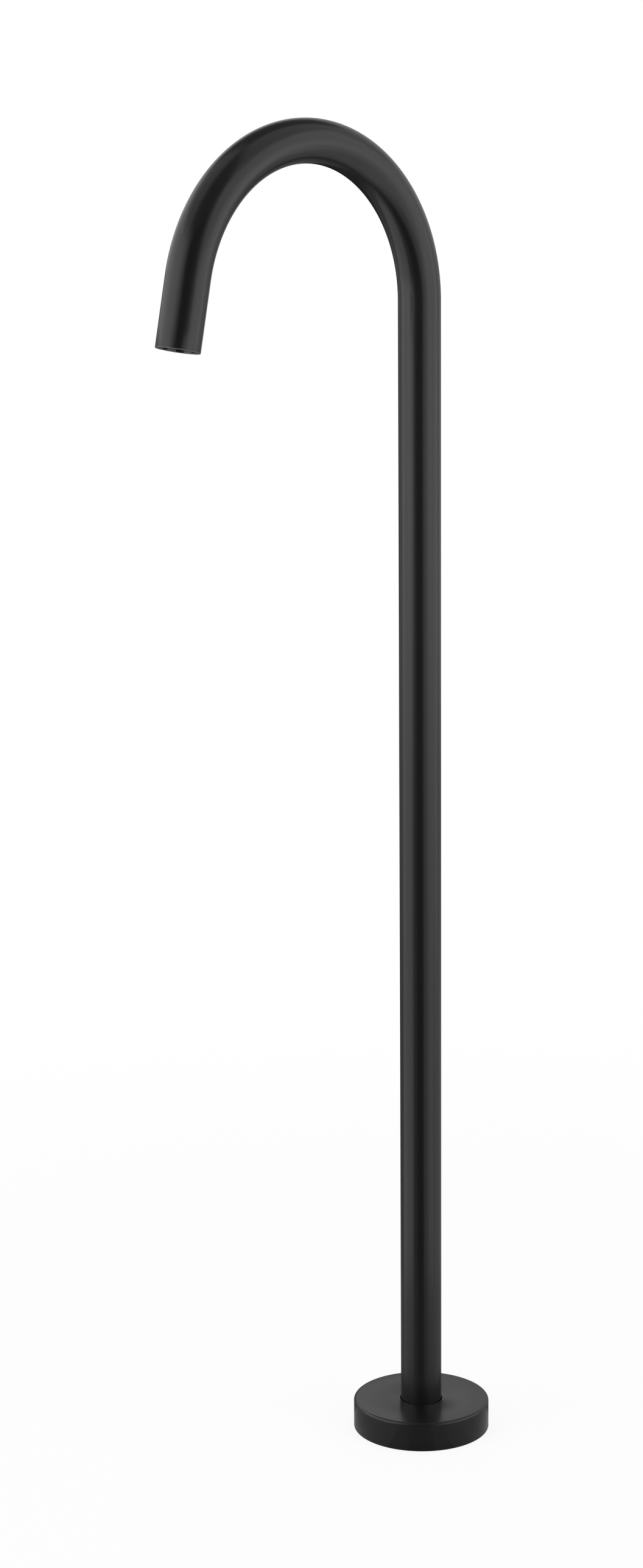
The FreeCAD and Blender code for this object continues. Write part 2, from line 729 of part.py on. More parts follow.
def make_aerator_screen():
    """Woven strainer, drawn as a square mesh inside a plain rim."""
    limit = number("lip_opening / 2")
    reach = int(limit / number("mesh_pitch")) + 1
    half_hole = number("mesh_opening / 2")
    centres = []
    for column in range(-reach, reach + 1):
        for line in range(-reach, reach + 1):
            far = [abs(place) * number("mesh_pitch") + half_hole for place in (column, line)]
            if math.hypot(*far) < limit:
                centres.append(("mesh_pitch * %d" % column, "mesh_pitch * %d" % line))

    def square(index, across, up):
        return primitive("Box", "mesh_%d" % index, Length="mesh_opening", Width="mesh_opening",
                         Height="screen_thick", Placement__Base__x=across + " - mesh_opening / 2",
                         Placement__Base__y=up + " - mesh_opening / 2",
                         Placement__Base__z="jet_outer_end")

    return perforated_disc("aerator_screen", "jet_outer_end", "screen_thick", centres, square)


def make_flow_straightener():
    """Honeycomb that the water leaves through: whole hexagonal cells inside the shell's lip."""
    limit = number("lip_opening / 2")
    corner = "(cell_pitch - cell_web) / 2 / cos(30 deg)"
    reach = int(limit / number("cell_pitch")) + 1
    centres = []
    for column in range(-reach, reach + 1):
        for line in range(-reach, reach + 1):
            across = "cell_pitch * %.1f" % (column + line / 2)
            up = "cell_pitch * %d * sin(60 deg)" % line
            if math.hypot(number(across), number(up)) + number(corner) < limit:
                centres.append((across, up))

    def cell(index, across, up):
        prism = primitive("Prism", "cell_%d" % index, Circumradius=corner,
                          Height="straightener_thick", Placement__Base__x=across,
                          Placement__Base__y=up, Placement__Base__z="screen_outer_end")
        prism.Polygon = 6
        prism.Placement.Rotation = FreeCAD.Rotation(FreeCAD.Vector(0, 0, 1), 30)
        return prism

    return perforated_disc("flow_straightener", "screen_outer_end", "straightener_thick",
                           centres, cell)


# ---- floor cover ----

def make_cover_flange():
    """Loose round cover over the floor plate, with a hub inside that carries its O-ring."""
    body = turned_body("cover_flange", [
        ("cover_hole", "hub_bottom"),
        ("hub_outer", "hub_bottom"),
        ("hub_outer", "cover_ceiling"),
        ("cover_inner", "cover_ceiling"),
        ("cover_inner", "0"),
        ("cover_outer", "0"),
        ("cover_outer", "cover_height"),
        ("cover_hole", "cover_height"),
        ("cover_hole", "cover_seal_top + small_edge"),
        ("cover_seal_outer", "cover_seal_top + small_edge"),
        ("cover_seal_outer", "cover_seal_bottom - small_edge"),
        ("cover_hole", "cover_seal_bottom - small_edge"),
    ])
    dress_edges(body, "Fillet", "cover_edge", [("cover_outer", "cover_height")])
    dress_edges(body, "Chamfer", "small_edge",
                [("cover_hole", "cover_height"), ("cover_outer", "0")])
    return keep(body, "cover_flange")


def make_cover_seal():
    return make_seal_ring("cover_o_ring", "cover_seal_inner", "cover_seal_outer",
                          "cover_seal_bottom", "cover_seal_top")


make_floor_gasket()
make_floor_plate()
make_inlet_spigot()
make_spigot_locknut()
make_locknut_washer()
make_inlet_washer()
make_thrust_washer()
make_bearing_ring("lower_bearing_ring", "lower_bearing_height")
make_bearing_ring("upper_bearing_ring", "upper_bearing_height")
make_spigot_seal("lower_o_ring", "lower_seal_height")
make_spigot_seal("upper_o_ring", "upper_seal_height")
make_spout_tube()
make_foot_bush()
make_grub_screws()
make_outlet_nozzle()
make_aerator_washer()
make_aerator_shell()
make_jet_plate()
make_aerator_screen()
make_flow_straightener()
make_cover_flange()
make_cover_seal()
doc.recompute()

for feature in doc.Objects:
    if "Invalid" in feature.State or "Error" in feature.State:
        raise RuntimeError("%s failed: %s" % (feature.Name, feature.State))
for part in sub_parts:
    if part.Shape.isNull() or not part.Shape.isValid():
        raise RuntimeError("%s has no valid shape" % part.Label)

os.makedirs("parts", exist_ok=True)
for part in sub_parts:
    part.Shape.exportStep(os.path.join("parts", part.Label + ".step"))
    box = part.Shape.BoundBox
    print("%-20s %d solid(s) %10.1f mm3  z %.2f to %.2f" % (
        part.Label, len(part.Shape.Solids), part.Shape.Volume, box.ZMin, box.ZMax))
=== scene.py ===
"""Dresses a floor standing bath filler: bent black tube, loose floor cover, hidden aerator."""

import logging
import math
from dataclasses import dataclass, field
from enum import Enum

import bmesh
import bpy
from mathutils import Matrix, Vector


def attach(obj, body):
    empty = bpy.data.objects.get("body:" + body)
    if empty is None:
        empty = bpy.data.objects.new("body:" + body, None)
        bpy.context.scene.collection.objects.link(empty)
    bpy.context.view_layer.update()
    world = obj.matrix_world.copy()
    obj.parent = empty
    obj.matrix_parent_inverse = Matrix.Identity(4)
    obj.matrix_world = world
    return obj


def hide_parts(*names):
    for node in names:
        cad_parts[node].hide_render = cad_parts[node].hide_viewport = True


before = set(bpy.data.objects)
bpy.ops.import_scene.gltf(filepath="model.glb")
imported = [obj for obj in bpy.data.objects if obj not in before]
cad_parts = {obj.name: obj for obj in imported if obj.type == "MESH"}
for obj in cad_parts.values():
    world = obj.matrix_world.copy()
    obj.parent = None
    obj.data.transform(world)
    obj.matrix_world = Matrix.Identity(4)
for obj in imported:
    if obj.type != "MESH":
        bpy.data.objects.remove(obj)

LOG = logging.getLogger("bath_filler")
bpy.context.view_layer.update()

MM = 0.001  # a millimetre in metres
SAME_PLACE = 1e-3  # two places this close, in millimetres, are one
MERGE = 1e-5  # the corners where a full turn closes are this close, in millimetres
CREASE = 32.0  # edges sharper than this many degrees stay sharp

Color = tuple[float, float, float]
Profile = list[tuple[float, float]]
Ring = list[bmesh.types.BMEdge]


class Slot(Enum):
    """Material slots of the record that the new pieces have."""

    SATIN_BLACK = "satin_black"
    AERATOR_BLACK = "aerator_black"


class Body(Enum):
    """Moving bodies that the new pieces ride on."""

    SPOUT = "spout"
    COVER = "cover"
    AERATOR = "aerator"


class Axis(Enum):
    """The two axes that pieces are turned about."""

    RISER = "riser"
    OUTLET = "outlet"


class Look(Enum):
    """The finishes that a piece can have."""

    COAT = "coat"
    MOUTH = "coat_mouth"
    BRASS = "brass"
    STEEL = "steel"
    MESH = "mesh_steel"
    RUBBER = "rubber"
    ACETAL = "acetal"
    PLASTIC = "plastic"


# ---- the filler's line ----


@dataclass(frozen=True)
class SpoutLine:
    """The tube's line and what it shares with the nozzle, in millimetres, as the source has it."""

    outer: float = 16.0
    foot: float = 13.5
    bend_start: float = 886.5
    bend_radius: float = 116.5
    bend_angle: float = 168.0
    outlet_leg: float = 50.5
    nozzle_total: float = 22.0
    nozzle_spigot: float = 8.0

    def outlet_matrix(self) -> Matrix:
        """Find the nozzle's inner end, with Z running out of the outlet.

        Returns:
            The place and turn, in metres.
        """
        turn = math.radians(self.bend_angle)
        start = self.outlet_leg - self.nozzle_total
        forward = self.bend_radius * (1 - math.cos(turn)) + start * math.sin(turn)
        height = self.bend_start + self.bend_radius * math.sin(turn) + start * math.cos(turn)
        place = Matrix.Translation(Vector((0.0, -forward, height)) * MM)
        return place @ Matrix.Rotation(turn, 4, "X")


LINE = SpoutLine()


# ---- bench work on meshes ----


def parts(geometry: list, kind: type) -> list:
    """Return the parts of one kind, such as a mesh's corners."""
    return [part for part in geometry if isinstance(part, kind)]


def ring_edges(mesh: bmesh.types.BMesh, radius: float, height: float) -> Ring:
    """Find the edges of one turned ring.

    Args:
        mesh: a mesh turned about Z, in millimetres.
        radius: the ring's radius.
        height: the ring's height.

    Returns:
        The edges whose two ends lie on the ring.
    """

    def on_ring(corner: bmesh.types.BMVert) -> bool:
        """Return whether a corner lies on the ring."""
        return (abs(corner.co.xy.length - radius) < SAME_PLACE
                and abs(corner.co.z - height) < SAME_PLACE)

    return [edge for edge in mesh.edges if on_ring(edge.verts[0]) and on_ring(edge.verts[1])]


def drawn_out(mesh: bmesh.types.BMesh, ring: Ring, step: Vector) -> Ring:
    """Draw a ring of edges out into a wall.

    Args:
        mesh: the ring's mesh.
        ring: the ring's edges.
        step: how far and which way, in the mesh's units.

    Returns:
        The edges of the wall's far ring.
    """
    grown = bmesh.ops.extrude_edge_only(mesh, edges=ring)["geom"]
    corners = set(parts(grown, bmesh.types.BMVert))
    bmesh.ops.translate(mesh, vec=step, verts=list(corners))
    return [edge for edge in parts(grown, bmesh.types.BMEdge) if set(edge.verts) <= corners]


def turned(profile: Profile, steps: int) -> bmesh.types.BMesh:
    """Turn a closed profile of radius and height into a ring about Z.

    Args:
        profile: corners in millimetres, in order round the section.
        steps: sides of the ring.

    Returns:
        A new closed mesh in millimetres.
    """
    mesh = bmesh.new()
    corners = [mesh.verts.new((radius, 0.0, height)) for radius, height in profile]
    for here, there in zip(corners, corners[1:] + corners[:1]):
        mesh.edges.new((here, there))
    bmesh.ops.spin(mesh, geom=mesh.verts[:] + mesh.edges[:], cent=(0, 0, 0), axis=(0, 0, 1),
                   dvec=(0, 0, 0), angle=math.tau, steps=steps, use_merge=True,
                   use_normal_flip=False, use_duplicate=False)
    bmesh.ops.remove_doubles(mesh, verts=mesh.verts[:], dist=MERGE)
    bmesh.ops.recalc_face_normals(mesh, faces=mesh.faces[:])
    return mesh


def round_ring(mesh: bmesh.types.BMesh, radius: float, height: float, size: float,
               segments: int = 3) -> None:
    """Round one ring edge of a turned mesh.

    Args:
        mesh: a mesh turned about Z, in millimetres.
        radius: the ring's radius.
        height: the ring's height.
        size: the rounding's radius.
        segments: flats in the rounding.
    """
    bmesh.ops.bevel(mesh, geom=ring_edges(mesh, radius, height), offset=size,
                    offset_type="OFFSET", segments=segments, profile=0.5, affect="EDGES",
                    clamp_overlap=True, material=-1)


def shade(data: bpy.types.Mesh) -> None:
    """Shade a mesh smooth between its creases."""
    data.shade_smooth()
    data.set_sharp_from_angle(angle=math.radians(CREASE))


def finished_piece(mesh: bmesh.types.BMesh, name: str, place: Matrix) -> bpy.types.Object:
    """Make an object at the origin from a mesh in millimetres, with its place in its mesh.

    Args:
        mesh: the piece, in millimetres about its own axis; it is freed.
        name: the piece's name.
        place: where the piece goes, in metres.

    Returns:
        The linked object.
    """
    bmesh.ops.transform(mesh, matrix=place @ Matrix.Scale(MM, 4), verts=mesh.verts[:])
    data = bpy.data.meshes.new(name)
    mesh.to_mesh(data)
    mesh.free()
    shade(data)
    piece = bpy.data.objects.new(name, data)
    bpy.context.scene.collection.objects.link(piece)
    return piece


def drilled(piece: bpy.types.Object, tool: bmesh.types.BMesh) -> None:
    """Cut a tool's shape out of a piece for good.

    Args:
        piece: the piece, whose mesh is replaced.
        tool: the cutter, in metres; it is freed.
    """
    data = bpy.data.meshes.new("cutter")
    tool.to_mesh(data)
    tool.free()
    cutter = bpy.data.objects.new("cutter", data)
    bpy.context.scene.collection.objects.link(cutter)
    boolean = piece.modifiers.new("drilling", "BOOLEAN")
    boolean.operation = "DIFFERENCE"
    boolean.solver = "EXACT"
    boolean.object = cutter
    graph = bpy.context.evaluated_depsgraph_get()
    cut_data = bpy.data.meshes.new_from_object(piece.evaluated_get(graph))
    piece.modifiers.clear()
    old = piece.data
    piece.data = cut_data
    cut_data.name = piece.name
    shade(cut_data)
    bpy.data.meshes.remove(old)
    bpy.data.objects.remove(cutter)
    bpy.data.meshes.remove(data)


# ---- shader building ----


class Nodes:
    """A node tree with short ways to add nodes and links."""

    def __init__(self, tree: bpy.types.NodeTree) -> None:
        """Take a tree and empty it."""
        self.tree = tree
        tree.nodes.clear()

    def add(self, kind: str, **settings: object) -> bpy.types.Node:
        """Add a node.

        Args:
            kind: the node's type name without its ShaderNode prefix.
            **settings: properties, or inputs by their name with underscores for its spaces.

        Returns:
            The new node.
        """
        node = self.tree.nodes.new(kind if kind.startswith("Node") else "ShaderNode" + kind)
        for name, value in settings.items():
            if hasattr(node, name):
                setattr(node, name, value)
            else:
                node.inputs[name.replace("_", " ")].default_value = value
        return node

    def link(self, source: bpy.types.NodeSocket, target: bpy.types.NodeSocket) -> None:
        """Join two sockets."""
        self.tree.links.new(source, target)

    def surface(self, shader: bpy.types.NodeSocket, output: str = "OutputMaterial") -> None:
        """Send a shader to a new output node's surface."""
        self.link(shader, self.add(output).inputs["Surface"])

    def math(self, operation: str, first: object, second: object) -> bpy.types.NodeSocket:
        """Add a Math node.

        Args:
            operation: the sum to do.
            first: a socket or a number.
            second: a socket or a number.

        Returns:
            The result's socket.
        """
        node = self.add("Math", operation=operation)
        for socket, operand in zip(node.inputs, (first, second)):
            if isinstance(operand, bpy.types.NodeSocket):
                self.link(operand, socket)
            else:
                socket.default_value = operand
        return node.outputs[0]

    def blend(self, share: bpy.types.NodeSocket, color: bpy.types.NodeSocket,
              other: Color) -> bpy.types.NodeSocket:
        """Mix a colour with another.

        Args:
            share: how much of the other colour there is.
            color: the colour's socket.
            other: the other colour.

        Returns:
            The mixed colour's socket.
        """
        mix = self.add("Mix", data_type="RGBA")
        self.link(share, mix.inputs["Factor"])
        first, second = [socket for socket in mix.inputs if socket.type == "RGBA"]
        self.link(color, first)
        second.default_value = (*other, 1.0)
        return next(socket for socket in mix.outputs if socket.type == "RGBA")


def new_material(name: str) -> tuple[bpy.types.Material, Nodes]:
    """Start a material without any node.

    Args:
        name: the material's name.

    Returns:
        The material and its node helper.
    """
    material = bpy.data.materials.new(name)
    material.use_nodes = True
    return material, Nodes(material.node_tree)


EffectStart = tuple[bpy.types.NodeTree, Nodes, bpy.types.Node, bpy.types.Node]


def effect_group(name: str, inputs: dict[str, tuple[str, object]],
                 outputs: dict[str, str]) -> EffectStart:
    """Start a shared effect as a shader node group.

    Args:
        name: the group's name.
        inputs: socket types and default values by socket name.
        outputs: socket types by socket name.

    Returns:
        The group, its node helper, its input node and its output node.
    """
    group = bpy.data.node_groups.new(name, "ShaderNodeTree")
    for label, (kind, value) in inputs.items():
        socket = group.interface.new_socket(name=label, in_out="INPUT", socket_type=kind)
        if value is not None:
            socket.default_value = value
    for label, kind in outputs.items():
        group.interface.new_socket(name=label, in_out="OUTPUT", socket_type=kind)
    nodes = Nodes(group)
    return group, nodes, nodes.add("NodeGroupInput"), nodes.add("NodeGroupOutput")


class Effects:
    """Effects that several finishes share, each built once."""

    FINE_RATIO = 3.7  # how many times finer the fine grain is than the broad one
    WAVE_RATE = 0.32  # a wave's scale times its pitch in metres

    def __init__(self) -> None:
        """Build the groups."""
        self.drift = self._drift()
        self.grain = self._grain()
        self.turning = self._turning()

    @staticmethod
    def _drift() -> bpy.types.NodeTree:
        """Build the slow change of tone and gloss from place to place.

        Returns:
            The group.
        """
        group, nodes, start, end = effect_group(
            "slow_drift",
            {"Vector": ("NodeSocketVector", None), "Color": ("NodeSocketColor", (0.5, 0.5, 0.5, 1)),
             "Tone Change": ("NodeSocketFloat", 0.1), "Roughness": ("NodeSocketFloat", 0.4),
             "Gloss Change": ("NodeSocketFloat", 0.05), "Scale": ("NodeSocketFloat", 12.0)},
            {"Color": "NodeSocketColor", "Roughness": "NodeSocketFloat"})
        noise = nodes.add("TexNoise", Detail=3.0, Roughness=0.55)
        nodes.link(start.outputs["Vector"], noise.inputs["Vector"])
        nodes.link(start.outputs["Scale"], noise.inputs["Scale"])
        swing = nodes.math("SUBTRACT", noise.outputs["Fac"], 0.5)
        tone = nodes.math("ADD", nodes.math("MULTIPLY", swing, start.outputs["Tone Change"]), 1.0)
        scaled = nodes.add("VectorMath", operation="SCALE")
        nodes.link(start.outputs["Color"], scaled.inputs[0])
        nodes.link(tone, scaled.inputs["Scale"])
        nodes.link(scaled.outputs[0], end.inputs["Color"])
        gloss = nodes.math("MULTIPLY", swing, start.outputs["Gloss Change"])
        nodes.link(nodes.math("ADD", gloss, start.outputs["Roughness"]), end.inputs["Roughness"])
        return group

    @classmethod
    def _grain(cls) -> bpy.types.NodeTree:
        """Build the fine skin of paint, rubber or moulded plastic, two sizes of bump.

        Returns:
            The group.
        """
        group, nodes, start, end = effect_group(
            "skin_grain",
            {"Vector": ("NodeSocketVector", None), "Scale": ("NodeSocketFloat", 600.0),
             "Fine Share": ("NodeSocketFloat", 0.4)},
            {"Height": "NodeSocketFloat"})
        broad = nodes.add("TexNoise", Detail=2.0, Roughness=0.5)
        fine = nodes.add("TexNoise", Detail=1.0, Roughness=0.5)
        for noise in (broad, fine):
            nodes.link(start.outputs["Vector"], noise.inputs["Vector"])
        nodes.link(start.outputs["Scale"], broad.inputs["Scale"])
        nodes.link(nodes.math("MULTIPLY", start.outputs["Scale"], cls.FINE_RATIO),
                   fine.inputs["Scale"])
        fine_part = nodes.math("MULTIPLY", fine.outputs["Fac"], start.outputs["Fine Share"])
        nodes.link(nodes.math("ADD", broad.outputs["Fac"], fine_part), end.inputs["Height"])
        return group

    @classmethod
    def _turning(cls) -> bpy.types.NodeTree:
        """Build lathe marks about Z, rings on end faces and bands on round walls.

        Returns:
            The group.
        """
        group, nodes, start, end = effect_group(
            "turning_marks",
            {"Vector": ("NodeSocketVector", None), "Pitch": ("NodeSocketFloat", 0.0003)},
            {"Height": "NodeSocketFloat"})
        rate = nodes.math("DIVIDE", cls.WAVE_RATE, start.outputs["Pitch"])
        rings = nodes.add("TexWave", wave_type="RINGS", rings_direction="Z", Distortion=0.6,
                          Detail=2.0, Detail_Scale=0.4)
        bands = nodes.add("TexWave", wave_type="BANDS", bands_direction="Z", Distortion=0.6,
                          Detail=2.0, Detail_Scale=0.4)
        for wave in (rings, bands):
            nodes.link(start.outputs["Vector"], wave.inputs["Vector"])
            nodes.link(rate, wave.inputs["Scale"])
        both = nodes.math("ADD", rings.outputs["Fac"], bands.outputs["Fac"])
        nodes.link(both, end.inputs["Height"])
        return group


@dataclass(frozen=True)
class Finish:
    """One finish of the filler, with the parts that every finish has.

    Scales are per metre, and the grain's depth is in metres.
    """

    name: str
    color: Color
    roughness: float
    metallic: float = 0.0
    ior: float = 1.5
    specular: float = 0.5
    tone_change: float = 0.1
    gloss_change: float = 0.06
    drift_scale: float = 14.0
    grain_scale: float = 600.0
    grain_depth: float = 0.00001
    fine_share: float = 0.4
    axis: Axis = Axis.RISER

    def dress(self, effects: Effects) -> bpy.types.Material:
        """Build the material.

        Args:
            effects: the shared effect groups.

        Returns:
            The finished material.
        """
        material, nodes = new_material(self.name)
        material.diffuse_color = (*self.color, 1.0)
        shader = nodes.add("BsdfPrincipled", Metallic=self.metallic, IOR=self.ior,
                           Specular_IOR_Level=self.specular)
        nodes.surface(shader.outputs[0])
        place = self._place(nodes)
        drift = self._group(nodes, effects.drift, place, Color=(*self.color, 1.0),
                            Tone_Change=self.tone_change, Roughness=self.roughness,
                            Gloss_Change=self.gloss_change, Scale=self.drift_scale)
        nodes.link(self.tint(nodes, place, drift.outputs["Color"]), shader.inputs["Base Color"])
        nodes.link(drift.outputs["Roughness"], shader.inputs["Roughness"])
        bump = nodes.add("Bump", Strength=1.0, Distance=self.grain_depth)
        nodes.link(self.relief(nodes, effects, place), bump.inputs["Height"])
        nodes.link(bump.outputs["Normal"], shader.inputs["Normal"])
        return material

    def _place(self, nodes: Nodes) -> bpy.types.NodeSocket:
        """Add object coordinates, turned to the finish's axis.

        Args:
            nodes: the material's nodes.

        Returns:
            The coordinates' socket.
        """
        place = nodes.add("TexCoord").outputs["Object"]
        if self.axis is Axis.RISER:
            return place
        matrix = LINE.outlet_matrix()
        mapping = nodes.add("Mapping", vector_type="TEXTURE", Location=matrix.to_translation(),
                            Rotation=matrix.to_euler())
        nodes.link(place, mapping.inputs["Vector"])
        return mapping.outputs["Vector"]

    @staticmethod
    def _group(nodes: Nodes, tree: bpy.types.NodeTree, place: bpy.types.NodeSocket,
               **values: object) -> bpy.types.Node:
        """Place a shared effect in the material.

        Args:
            nodes: the material's nodes.
            tree: the effect's group.
            place: the coordinates' socket.
            **values: inputs by their name with underscores for its spaces.

        Returns:
            The group's node.
        """
        node = nodes.add("Group")
        node.node_tree = tree
        nodes.link(place, node.inputs["Vector"])
        for name, value in values.items():
            node.inputs[name.replace("_", " ")].default_value = value
        return node

    def tint(self, nodes: Nodes, place: bpy.types.NodeSocket,
             color: bpy.types.NodeSocket) -> bpy.types.NodeSocket:
        """Return the colour as it is; a finish with colour of its own changes it here."""
        return color

    def relief(self, nodes: Nodes, effects: Effects,
               place: bpy.types.NodeSocket) -> bpy.types.NodeSocket:
        """Add the surface's fine grain. Returns its height's socket."""
        return self._group(nodes, effects.grain, place, Scale=self.grain_scale,
                           Fine_Share=self.fine_share).outputs["Height"]


@dataclass(frozen=True)
class Coat(Finish):
    """Satin black powder coat of the tube and the cover."""

    name: str = "satin_black_coat"
    color: Color = (0.0080, 0.0080, 0.0082)
    roughness: float = 0.24
    tone_change: float = 0.14
    gloss_change: float = 0.05
    drift_scale: float = 9.0
    grain_scale: float = 420.0
    grain_depth: float = 0.000006


@dataclass(frozen=True)
class RimHighlightCoat(Coat):
    """The coat at the outlet, with a lighter painted highlight on the rim of the mouth."""

    name: str = "satin_black_mouth"
    axis: Axis = Axis.OUTLET
    # painted highlight: the lighter colour on the mouth's rim stands for light that its rounded
    # edge catches
    painted_highlight: Color = (0.10, 0.10, 0.102)
    highlight_start: float = 0.0214
    highlight_end: float = 0.0217

    def tint(self, nodes: Nodes, place: bpy.types.NodeSocket,
             color: bpy.types.NodeSocket) -> bpy.types.NodeSocket:
        """Paint a lighter highlight on the coat by its distance along the outlet, in metres.

        Args:
            nodes: the material's nodes.
            place: the coordinates' socket.
            color: the coat's colour.

        Returns:
            The socket of the colour with its painted highlight.
        """
        # mask of the painted highlight, a band along the outlet at the rim
        split = nodes.add("SeparateXYZ")
        nodes.link(place, split.inputs["Vector"])
        fade = nodes.add("MapRange", interpolation_type="SMOOTHSTEP", From_Min=self.highlight_start,
                         From_Max=self.highlight_end)
        nodes.link(split.outputs["Z"], fade.inputs["Value"])
        return nodes.blend(fade.outputs["Result"], color, self.painted_highlight)


@dataclass(frozen=True)
class TurnedMetal(Finish):
    """Bare metal off the lathe: its marks are the relief, and it has a little tarnish."""

    metallic: float = 1.0
    pitch: float = 0.00028
    tarnish: Color = (0.5, 0.36, 0.16)
    tarnish_share: float = 0.35
    patch_scale: float = 46.0
    patch_start: float = 0.46
    patch_end: float = 0.74

    def tint(self, nodes: Nodes, place: bpy.types.NodeSocket,
             color: bpy.types.NodeSocket) -> bpy.types.NodeSocket:
        """Darken the metal in patches.

        Args:
            nodes: the material's nodes.
            place: the coordinates' socket.
            color: the clean metal's colour.

        Returns:
            The tarnished colour's socket.
        """
        noise = nodes.add("TexNoise", Scale=self.patch_scale, Detail=6.0, Roughness=0.62)
        nodes.link(place, noise.inputs["Vector"])
        patch = nodes.add("ValToRGB")
        patch.color_ramp.elements[0].position = self.patch_start
        patch.color_ramp.elements[1].position = self.patch_end
        nodes.link(noise.outputs["Fac"], patch.inputs["Fac"])
        share = nodes.math("MULTIPLY", patch.outputs["Color"], self.tarnish_share)
        return nodes.blend(share, color, self.tarnish)

    def relief(self, nodes: Nodes, effects: Effects,
               place: bpy.types.NodeSocket) -> bpy.types.NodeSocket:
        """Add the lathe's marks. Returns their height's socket."""
        return self._group(nodes, effects.turning, place, Pitch=self.pitch).outputs["Height"]


FINISHES: dict[Look, Finish] = {
    Look.COAT: Coat(),
    Look.MOUTH: RimHighlightCoat(),
    Look.BRASS: TurnedMetal("turned_brass", (0.80, 0.60, 0.30), 0.24, gloss_change=0.12,
                            drift_scale=30.0, grain_depth=0.000004),
    Look.STEEL: TurnedMetal("stainless_steel", (0.60, 0.60, 0.61), 0.27, gloss_change=0.10,
                            drift_scale=60.0, grain_depth=0.000003, tarnish=(0.42, 0.42, 0.43)),
    Look.MESH: TurnedMetal("stainless_mesh", (0.60, 0.60, 0.61), 0.30, gloss_change=0.10,
                           drift_scale=200.0, grain_depth=0.000003, tarnish=(0.42, 0.42, 0.43),
                           axis=Axis.OUTLET),
    Look.RUBBER: Finish("moulded_rubber", (0.018, 0.018, 0.019), 0.72, tone_change=0.3,
                        gloss_change=0.15, drift_scale=60.0, grain_scale=1800.0),
    Look.ACETAL: Finish("white_acetal", (0.76, 0.76, 0.73), 0.42, tone_change=0.05,
                        gloss_change=0.10, drift_scale=80.0, grain_scale=1500.0,
                        grain_depth=0.000006),
    Look.PLASTIC: Finish("aerator_plastic", (0.064, 0.064, 0.066), 0.40, tone_change=0.2,
                         gloss_change=0.12, drift_scale=160.0, grain_scale=2600.0,
                         grain_depth=0.000005, axis=Axis.OUTLET),
}


class Paintbox:
    """The finished materials, built once and handed out by look."""

    def __init__(self) -> None:
        """Build every finish."""
        effects = Effects()
        self.materials = {look: finish.dress(effects) for look, finish in FINISHES.items()}

    def piece(self, piece: bpy.types.Object, look: Look, body: Body, slot: Slot,
              node: str) -> None:
        """Dress a new piece and make it ride on its body.

        Args:
            piece: the new piece.
            look: its finish.
            body: the body that it moves with.
            slot: the record's slot of its finish; not used.
            node: the CAD node that it stands for.
        """
        piece.data.materials.clear()
        piece.data.materials.append(self.materials[look])
        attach(piece, body.value)
        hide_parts(node)
        LOG.info("piece %s: %d faces, %s, on %s", piece.name, len(piece.data.polygons),
                 look.value, body.value)

    def node(self, name: str, look: Look) -> None:
        """Dress a CAD node as it is.

        Args:
            name: the node's name.
            look: its finish.
        """
        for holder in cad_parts[name].material_slots:
            holder.material = self.materials[look]
        LOG.info("node %s: %s", name, look.value)


# ---- sub-assemblies ----


